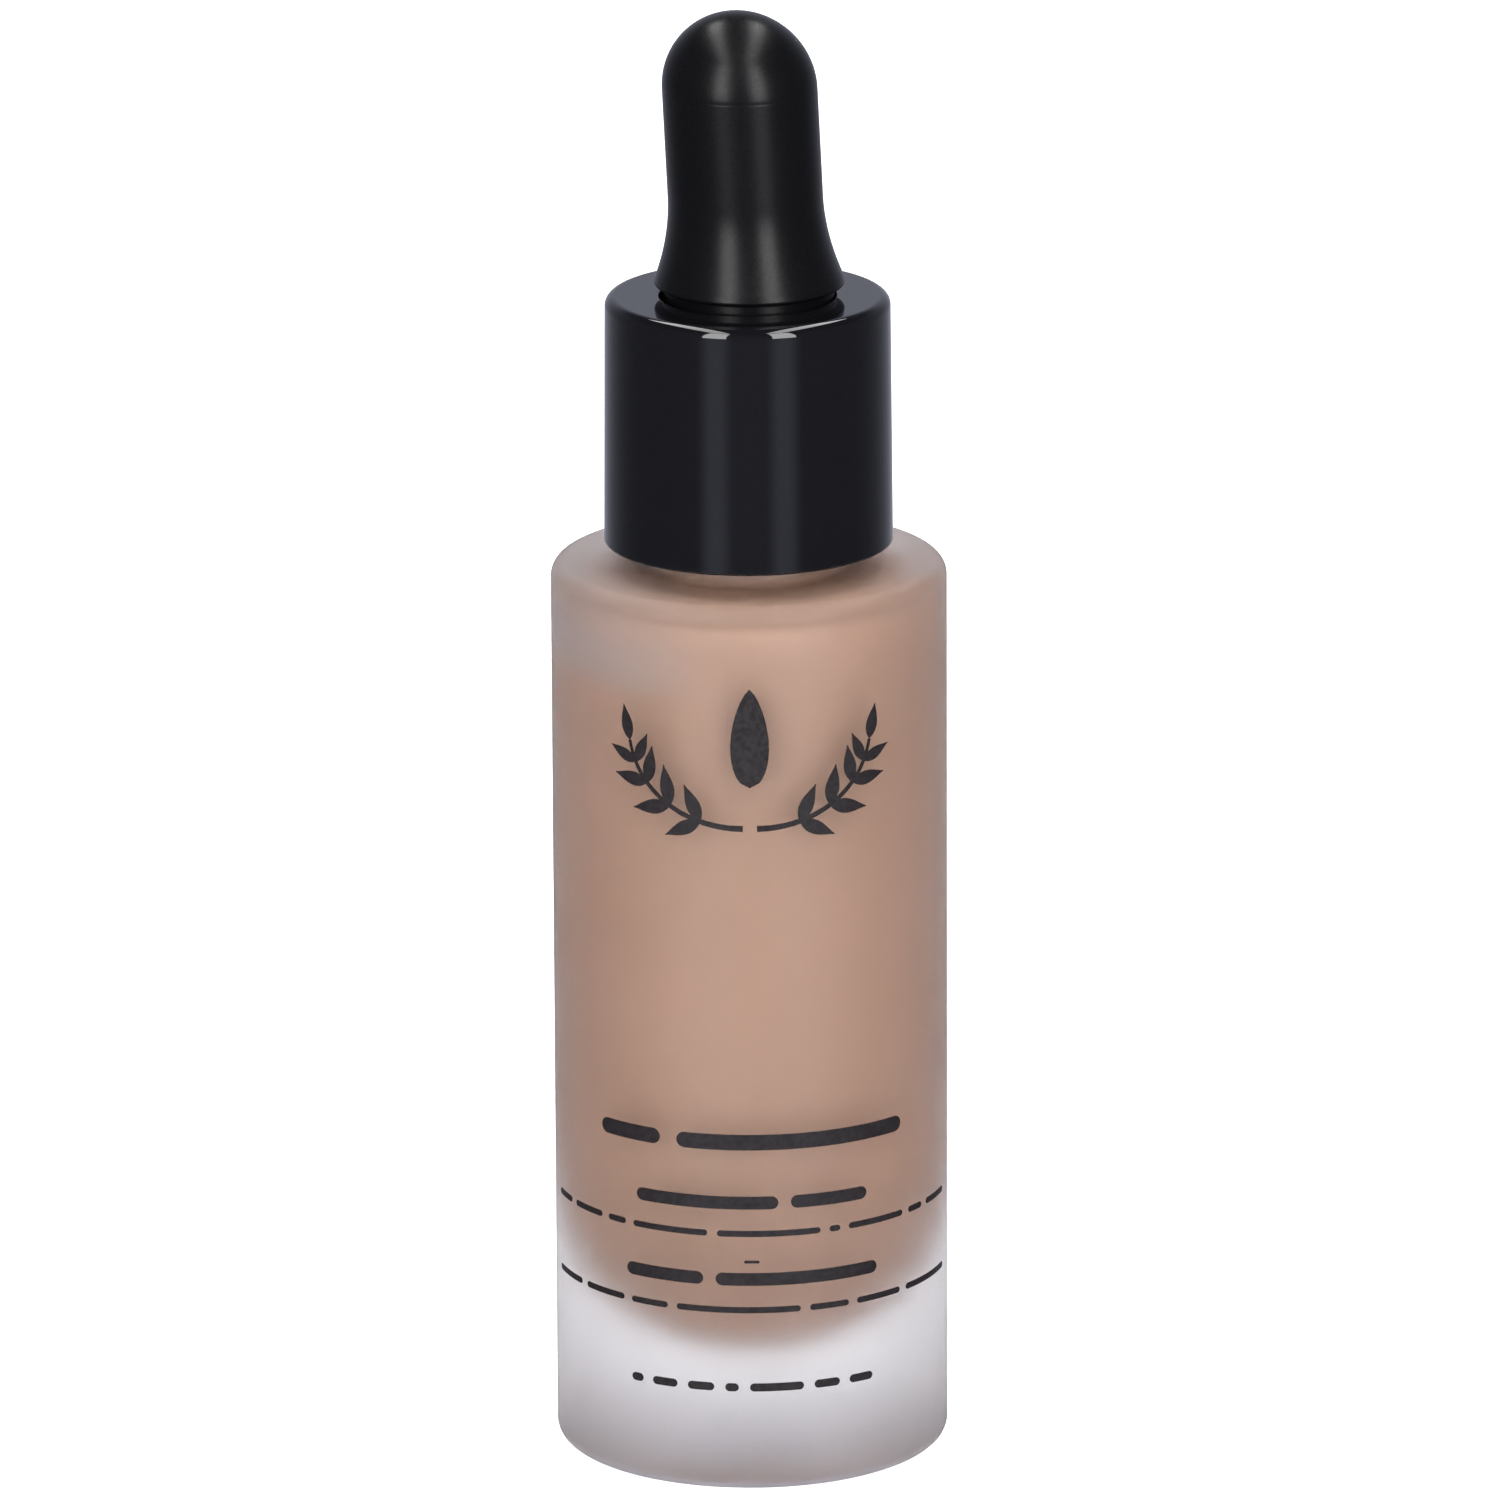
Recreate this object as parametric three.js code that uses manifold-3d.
// A 20 ml foundation bottle with a screw-on dropper, in millimetres, +Z up.
// The origin is the middle of the bottle's base, on the surface that it stands on.
//
// A heavy frosted glass bottle holds the foundation. Its neck has an 18-415 screw thread.
// A plastic wiper is pressed into the neck and strips the pipette as the dropper is pulled out.
// The dropper is a glass pipette and a hollow rubber bulb, held together by the collar.
// The collar is a smooth glossy shell pressed over a threaded inner closure.
import * as THREE from "three";
import { mergeVertices } from "three/addons/utils/BufferGeometryUtils.js";
import Module from "manifold-3d";

const wasm = await Module();
wasm.setup();

// ---------------------------------------------------------------- driving dimensions
const ROUND_SIDES = 36; // sides of every turned piece, so that neighbours' facets line up
const SLIM_SIDES = 20; // sides of the pipette and what is in it

const BODY_R = 14.1;
const SHOULDER_Z = 65.4;
const HEEL_R = 1.2;
const SHOULDER_EDGE_R = 1.2;
const GLASS_WALL = 2.6;
const CAVITY_FLOOR_Z = 7.9;
const BOWL_HEIGHT = 12.5; // the cavity's floor is half an ellipsoid this deep
const FLUID_LEVEL_Z = 60.6;

// The 18-415 neck finish
const NECK_R = 7.75;
const THREAD_CREST_R = 8.8;
const BORE_R = 5.3;
const RIM_Z = SHOULDER_Z + 15.35;
const PITCH = 25.4 / 12;
const THREAD_TURNS = 2;
const THREAD_TOP_DROP = 1.6; // from the rim to the middle of the thread's upper end
const THREAD_START_Z = RIM_Z - THREAD_TOP_DROP - THREAD_TURNS * PITCH;

// The collar
const COLLAR_BOTTOM_Z = SHOULDER_Z + 1.4;
const COLLAR_TOP_Z = 84.7;
const COLLAR_TOP_R = 10.14;
const COLLAR_BOTTOM_R = 10.28; // the mould's draft makes it wider at the foot
const COLLAR_EDGE_R = 0.75;
const COLLAR_OPENING_R = 6.3;
const SHELL_WALL = 0.45;
const SHELL_TOP_WALL = 0.8;
const CLOSURE_PLATE = 1.15;
const CLOSURE_ROOT_R = 8.97;
const CLOSURE_CREST_R = 8.2;
const CLOSURE_HOLE_R = 6.2;
const RIB_COUNT = 12;

// The dropper
const BULB_R = 5.5;
const BULB_TOP_Z = 105.2;
const BULB_LIP_R = 6.74;
const BULB_LIP_Z = 85.9;
const BULB_FLARE_HEIGHT = 6;
const BULB_WALL = 1.2;
const BULB_NECK_R = 6.05;
const BULB_FLANGE_R = 7.55;
const PIPETTE_R = 3.5;
const PIPETTE_BORE_R = 2.6;
const PIPETTE_TOP_Z = 86.6;
const PIPETTE_TIP_Z = 11;
const TIP_LENGTH = 9;
const TIP_R = 1.5;
const TIP_BORE_R = 0.8;
const PIPETTE_FLANGE_R = 4.9;
const DRAWN_LEVEL_Z = 48; // how high the foundation stands inside the pipette

const SEAT_GAP = 0.05; // between pieces that rest on each other
const SLIP_GAP = 0.15; // between the pipette and what is round it
const FILL_GAP = 0.2; // between the foundation and the glass that holds it
const PRESS_GAP = 0.15; // between the closure's wall and the shell; its ribs bridge most of it

// The stack that the collar clamps on the rim: the wiper's flange, the bulb's flange and the closure's plate
const WIPER_FLANGE = 0.7;
const BULB_FLANGE = 1;
const CLAMP_Z = RIM_Z + SEAT_GAP + WIPER_FLANGE + SEAT_GAP;
const FLANGE_TOP_Z = CLAMP_Z + BULB_FLANGE;
const PLATE_Z = FLANGE_TOP_Z + SEAT_GAP;

// ---------------------------------------------------------------- helpers
// Points [radius, z] along an arc, from one angle to another in degrees, both ends included.
function arc(centreR, centreZ, radiusR, fromDeg, toDeg, steps, radiusZ = radiusR) {
  return Array.from({ length: steps + 1 }, (_, i) => {
    const angle = THREE.MathUtils.degToRad(fromDeg + ((toDeg - fromDeg) * i) / steps);
    return [centreR + radiusR * Math.cos(angle), centreZ + radiusZ * Math.sin(angle)];
  });
}

// Turns a profile of [radius, z] points about the Z axis.
// A profile that never meets the axis is closed on itself.
function turned(profile, sides = ROUND_SIDES) {
  const startsOnAxis = Math.abs(profile[0][0]) < 1e-9;
  const closed = startsOnAxis ? profile : [...profile, profile[0]];
  const points = closed.map(([r, z]) => new THREE.Vector2(Math.abs(r) < 1e-9 ? 0 : r, z));
  return new THREE.LatheGeometry(points, sides).rotateX(Math.PI / 2);
}

// A closed geometry as a manifold-3d solid.
function solid(geometry) {
  const bare = geometry.clone();
  bare.deleteAttribute("normal");
  bare.deleteAttribute("uv");
  const merged = mergeVertices(bare, 1e-4);
  const corners = [];
  for (let i = 0; i < merged.index.count; i += 3) {
    const [a, b, c] = [0, 1, 2].map((k) => merged.index.getX(i + k));
    if (a !== b && b !== c && c !== a) corners.push(a, b, c);
  }
  return new wasm.Manifold(
    new wasm.Mesh({
      numProp: 3,
      vertProperties: new Float32Array(merged.attributes.position.array),
      triVerts: new Uint32Array(corners),
    }),
  );
}

// A manifold-3d solid as a geometry that three.js can draw.
function geometryOf(made) {
  const mesh = made.getMesh();
  const geometry = new THREE.BufferGeometry();
  geometry.setAttribute("position", new THREE.BufferAttribute(mesh.vertProperties, 3));
  geometry.setIndex(new THREE.BufferAttribute(mesh.triVerts, 1));
  geometry.computeVertexNormals();
  return geometry;
}

// A right-handed helical ridge with a trapezium section, sunk into its wall and faded out at both ends.
// It climbs from startZ, from baseR out to crestR, or in to crestR for an inner thread.
function helicalRidge({ startZ, baseR, crestR, baseWidth, crestWidth }) {
  const steps = THREAD_TURNS * ROUND_SIDES;
  const fadeSteps = ROUND_SIDES / 8;
  const lowestShare = 0.15; // of the ridge's height, left at its two ends
  const inner = crestR < baseR;
  const positions = [];
  const triangles = [];
  for (let i = 0; i <= steps; i++) {
    const angle = (2 * Math.PI * i) / ROUND_SIDES;
    const z = startZ + (PITCH * i) / ROUND_SIDES;
    const fade = Math.min(1, i / fadeSteps, (steps - i) / fadeSteps);
    const crest = baseR + (crestR - baseR) * (lowestShare + (1 - lowestShare) * fade);
    const section = [
      [baseR, -baseWidth / 2],
      [crest, -crestWidth / 2],
      [crest, crestWidth / 2],
      [baseR, baseWidth / 2],
    ];
    if (inner) section.reverse(); // so that the faces still point out
    for (const [r, dz] of section) {
      positions.push(r * Math.cos(angle), r * Math.sin(angle), z + dz);
    }
  }
  for (let i = 0; i < steps; i++) {
    for (let k = 0; k < 4; k++) {
      const a = 4 * i + k;
      const b = 4 * i + ((k + 1) % 4);
      triangles.push(a, a + 4, b, b, a + 4, b + 4);
    }
  }
  const last = 4 * steps;
  triangles.push(0, 1, 2, 0, 2, 3, last, last + 2, last + 1, last, last + 3, last + 2);
  const geometry = new THREE.BufferGeometry();
  geometry.setAttribute("position", new THREE.Float32BufferAttribute(positions, 3));
  geometry.setIndex(triangles);
  return solid(geometry);
}

function plastic(color, roughness) {
  return new THREE.MeshStandardMaterial({ color, roughness, metalness: 0 });
}

function piece(name, geometry, material) {
  const mesh = new THREE.Mesh(geometry, material);
  mesh.name = name;
  return mesh;
}

// ---------------------------------------------------------------- glass bottle
function glassBottle() {
  const cavityR = BODY_R - GLASS_WALL;
  const puntR = 9.6;
  const puntDepth = 0.5;
  const rootFillet = 0.8;
  const rimEdge = 0.5;
  const innerShoulderZ = 63.7;
  const innerCornerR = 1.8;
  const boreFlareR = 1.2;
  const boreChamfer = 0.3;
  const profile = [
    [0, puntDepth],
    [puntR - 1, puntDepth],
    [puntR, 0],
    ...arc(BODY_R - HEEL_R, HEEL_R, HEEL_R, -90, 0, 4),
    ...arc(BODY_R - SHOULDER_EDGE_R, SHOULDER_Z - SHOULDER_EDGE_R, SHOULDER_EDGE_R, 0, 90, 4),
    ...arc(NECK_R + rootFillet, SHOULDER_Z + rootFillet, rootFillet, 270, 180, 3),
    ...arc(NECK_R - rimEdge, RIM_Z - rimEdge, rimEdge, 0, 90, 2),
    [BORE_R + boreChamfer, RIM_Z],
    [BORE_R, RIM_Z - boreChamfer],
    ...arc(BORE_R + boreFlareR, innerShoulderZ + boreFlareR, boreFlareR, 180, 270, 3),
    ...arc(cavityR - innerCornerR, innerShoulderZ - innerCornerR, innerCornerR, 90, 0, 4),
    ...arc(0, CAVITY_FLOOR_Z + BOWL_HEIGHT, cavityR, 0, -90, 9, BOWL_HEIGHT),
  ];
  const thread = helicalRidge({
    startZ: THREAD_START_Z,
    baseR: NECK_R - 0.3,
    crestR: THREAD_CREST_R,
    baseWidth: 1.25,
    crestWidth: 0.5,
  });
  const glass = new THREE.MeshStandardMaterial({
    color: 0xd9d4d6,
    roughness: 0.5,
    metalness: 0,
    transparent: true,
    opacity: 0.4,
  });
  return piece("glass_bottle", geometryOf(solid(turned(profile)).add(thread)), glass);
}

// ---------------------------------------------------------------- foundation in the bottle
function foundationFluid() {
  const r = BODY_R - GLASS_WALL - FILL_GAP;
  const centreZ = CAVITY_FLOOR_Z + BOWL_HEIGHT;
  const hole = PIPETTE_R + SLIP_GAP;
  const tipHole = TIP_R + SLIP_GAP;
  const profile = [
    ...arc(0, centreZ, r, -90, 0, 9, BOWL_HEIGHT - FILL_GAP),
    [r, FLUID_LEVEL_Z],
    [hole, FLUID_LEVEL_Z],
    [hole, PIPETTE_TIP_Z + TIP_LENGTH],
    [tipHole, PIPETTE_TIP_Z],
    [tipHole, PIPETTE_TIP_Z - SLIP_GAP],
    [0, PIPETTE_TIP_Z - SLIP_GAP],
  ];
  return piece("foundation_fluid", turned(profile), plastic(0xb98f78, 0.35));
}

// ---------------------------------------------------------------- wiper in the neck
function neckWiper() {
  const flangeR = 7.1;
  const sleeveR = BORE_R - 0.08;
  const sleeveWall = 0.8;
  const sleeveLength = 7.5;
  const coneHeight = 1.6;
  const lipWidth = 0.5;
  const lipHeight = 0.6;
  const flangeEdge = 0.15;
  const mouthEdge = 0.2;
  const seatZ = RIM_Z + SEAT_GAP;
  const topZ = seatZ + WIPER_FLANGE;
  const footZ = RIM_Z - sleeveLength;
  const orificeR = PIPETTE_R + SLIP_GAP;
  const mouthR = sleeveR - sleeveWall;
  const profile = [
    [orificeR, footZ],
    [orificeR + lipWidth, footZ],
    [sleeveR, footZ + coneHeight],
    [sleeveR, seatZ],
    [flangeR, seatZ],
    [flangeR, topZ - flangeEdge],
    [flangeR - flangeEdge, topZ],
    [mouthR + mouthEdge, topZ],
    [mouthR, topZ - mouthEdge],
    [mouthR, footZ + coneHeight + lipHeight],
    [orificeR, footZ + lipHeight],
  ];
  return piece("neck_wiper", turned(profile), plastic(0xe9e7e4, 0.45));
}

// ---------------------------------------------------------------- glass pipette
function glassPipette() {
  const flangeZ = CLAMP_Z + 0.02;
  const flangeThickness = 0.9;
  const taperZ = PIPETTE_TIP_Z + TIP_LENGTH;
  const edge = 0.2;
  const profile = [
    [TIP_BORE_R, PIPETTE_TIP_Z],
    [TIP_R - edge, PIPETTE_TIP_Z],
    [TIP_R, PIPETTE_TIP_Z + edge],
    [PIPETTE_R, taperZ],
    [PIPETTE_R, flangeZ],
    [PIPETTE_FLANGE_R - edge, flangeZ],
    [PIPETTE_FLANGE_R, flangeZ + edge],
    [PIPETTE_FLANGE_R, flangeZ + flangeThickness - edge],
    [PIPETTE_FLANGE_R - edge, flangeZ + flangeThickness],
    [PIPETTE_R, flangeZ + flangeThickness],
    [PIPETTE_R, PIPETTE_TOP_Z - edge],
    [PIPETTE_R - edge, PIPETTE_TOP_Z],
    [PIPETTE_BORE_R, PIPETTE_TOP_Z],
    [PIPETTE_BORE_R, taperZ],
  ];
  const glass = new THREE.MeshStandardMaterial({
    color: 0xe8eeee,
    roughness: 0.05,
    metalness: 0,
    transparent: true,
    opacity: 0.35,
  });
  return piece("glass_pipette", turned(profile, SLIM_SIDES), glass);
}

// ---------------------------------------------------------------- foundation drawn up in the pipette
function fluidInPipette() {
  const r = PIPETTE_BORE_R - SLIP_GAP;
  const tipR = TIP_BORE_R - SLIP_GAP;
  const tipZ = PIPETTE_TIP_Z + FILL_GAP;
  const profile = [
    [0, tipZ],
    [tipR, tipZ],
    [r, tipZ + TIP_LENGTH],
    [r, DRAWN_LEVEL_Z],
    [0, DRAWN_LEVEL_Z],
  ];
  return piece("fluid_in_pipette", turned(profile, SLIM_SIDES), plastic(0xb98f78, 0.35));
}

// ---------------------------------------------------------------- rubber bulb
// The bulb's wall runs straight, and flares towards the lip that sits over the collar's opening.
function flaredRadius(z) {
  const along = Math.min(1, (z - BULB_LIP_Z) / BULB_FLARE_HEIGHT);
  return BULB_R + (BULB_LIP_R - BULB_R) * Math.pow(1 - along, 1.95);
}

function rubberBulb() {
  const domeZ = BULB_TOP_Z - BULB_R;
  const cavityR = BULB_R - BULB_WALL;
  const neckBoreR = PIPETTE_R + 0.1;
  const seatR = PIPETTE_FLANGE_R + 0.1; // recess for the pipette's flange
  const seatTopZ = FLANGE_TOP_Z + SEAT_GAP;
  const shaftTopZ = 88; // the pipette is gripped up to here, and the cavity is full width from cavityZ
  const cavityZ = 90.5;
  const lipEdge = 0.15;
  const lipUnderside = 0.4; // from the lip's widest ring down to its underside
  const neckTopDrop = 0.75;
  const flareSteps = 5;
  const flare = Array.from({ length: flareSteps + 1 }, (_, i) => {
    const z = BULB_LIP_Z + (BULB_FLARE_HEIGHT * i) / flareSteps;
    return [flaredRadius(z), z];
  });
  const profile = [
    [0, domeZ + cavityR],
    ...arc(0, domeZ, cavityR, 90, 0, 5).slice(1),
    [cavityR, cavityZ],
    [neckBoreR, shaftTopZ],
    [neckBoreR, seatTopZ],
    [seatR, seatTopZ],
    [seatR, CLAMP_Z],
    [BULB_FLANGE_R, CLAMP_Z],
    [BULB_FLANGE_R, FLANGE_TOP_Z],
    [BULB_NECK_R, FLANGE_TOP_Z],
    [BULB_NECK_R, BULB_LIP_Z - neckTopDrop],
    [BULB_LIP_R - lipEdge, BULB_LIP_Z - lipUnderside],
    [BULB_LIP_R, BULB_LIP_Z - lipEdge],
    ...flare,
    ...arc(0, domeZ, BULB_R, 0, 90, 6),
  ];
  return piece("rubber_bulb", turned(profile), plastic(0x1f1f22, 0.6));
}

// ---------------------------------------------------------------- threaded inner closure
function screwClosure() {
  const outerR = COLLAR_TOP_R - SHELL_WALL - PRESS_GAP;
  const ribR = outerR + 0.1;
  const ribWidth = 0.5;
  const ribDepth = 0.4; // most of it is sunk into the wall
  const ribEndGap = 1; // bare wall under and over each rib
  const footZ = COLLAR_BOTTOM_Z + 0.35;
  const plateTopZ = PLATE_Z + CLOSURE_PLATE;
  const mouthHeight = 0.3; // of the lead-in at the foot
  const mouthWidth = 0.25;
  const profile = [
    [CLOSURE_HOLE_R, PLATE_Z],
    [CLOSURE_ROOT_R, PLATE_Z],
    [CLOSURE_ROOT_R, footZ + mouthHeight],
    [CLOSURE_ROOT_R + mouthWidth, footZ],
    [outerR, footZ],
    [outerR, plateTopZ],
    [CLOSURE_HOLE_R, plateTopZ],
  ];
  // The inner thread sits in the glass thread's groove, just under its lower flank.
  const thread = helicalRidge({
    startZ: THREAD_START_Z - PITCH / 2 + 0.1,
    baseR: CLOSURE_ROOT_R + 0.25,
    crestR: CLOSURE_CREST_R,
    baseWidth: 1.15,
    crestWidth: 0.4,
  });
  let body = solid(turned(profile)).add(thread);
  const ribHeight = plateTopZ - footZ - 2 * ribEndGap;
  for (let i = 0; i < RIB_COUNT; i++) {
    const rib = new THREE.BoxGeometry(ribDepth, ribWidth, ribHeight);
    rib.translate(ribR - ribDepth / 2, 0, footZ + ribEndGap + ribHeight / 2);
    rib.rotateZ((2 * Math.PI * i) / RIB_COUNT);
    body = body.add(solid(rib));
  }
  return piece("screw_closure", geometryOf(body), plastic(0x18181a, 0.4));
}

// ---------------------------------------------------------------- glossy collar shell
function collarShell() {
  const innerR = COLLAR_TOP_R - SHELL_WALL;
  const openingEdge = 0.12;
  const profile = [
    [innerR, COLLAR_BOTTOM_Z],
    [COLLAR_BOTTOM_R - 0.1, COLLAR_BOTTOM_Z],
    [COLLAR_BOTTOM_R, COLLAR_BOTTOM_Z + 0.1],
    ...arc(COLLAR_TOP_R - COLLAR_EDGE_R, COLLAR_TOP_Z - COLLAR_EDGE_R, COLLAR_EDGE_R, 0, 90, 4),
    ...arc(COLLAR_OPENING_R + openingEdge, COLLAR_TOP_Z - openingEdge, openingEdge, 90, 180, 2),
    [COLLAR_OPENING_R, COLLAR_TOP_Z - SHELL_TOP_WALL],
    [innerR, COLLAR_TOP_Z - SHELL_TOP_WALL],
  ];
  return piece("collar_shell", turned(profile), plastic(0x0c0c0e, 0.08));
}

// ---------------------------------------------------------------- assembly
const bottle = new THREE.Group();
bottle.add(glassBottle(), foundationFluid(), neckWiper());

const dropper = new THREE.Group();
dropper.add(glassPipette(), fluidInPipette(), rubberBulb());

const collar = new THREE.Group();
collar.add(screwClosure(), collarShell());

const foundationBottle = new THREE.Group();
foundationBottle.add(bottle, dropper, collar);

export default foundationBottle;
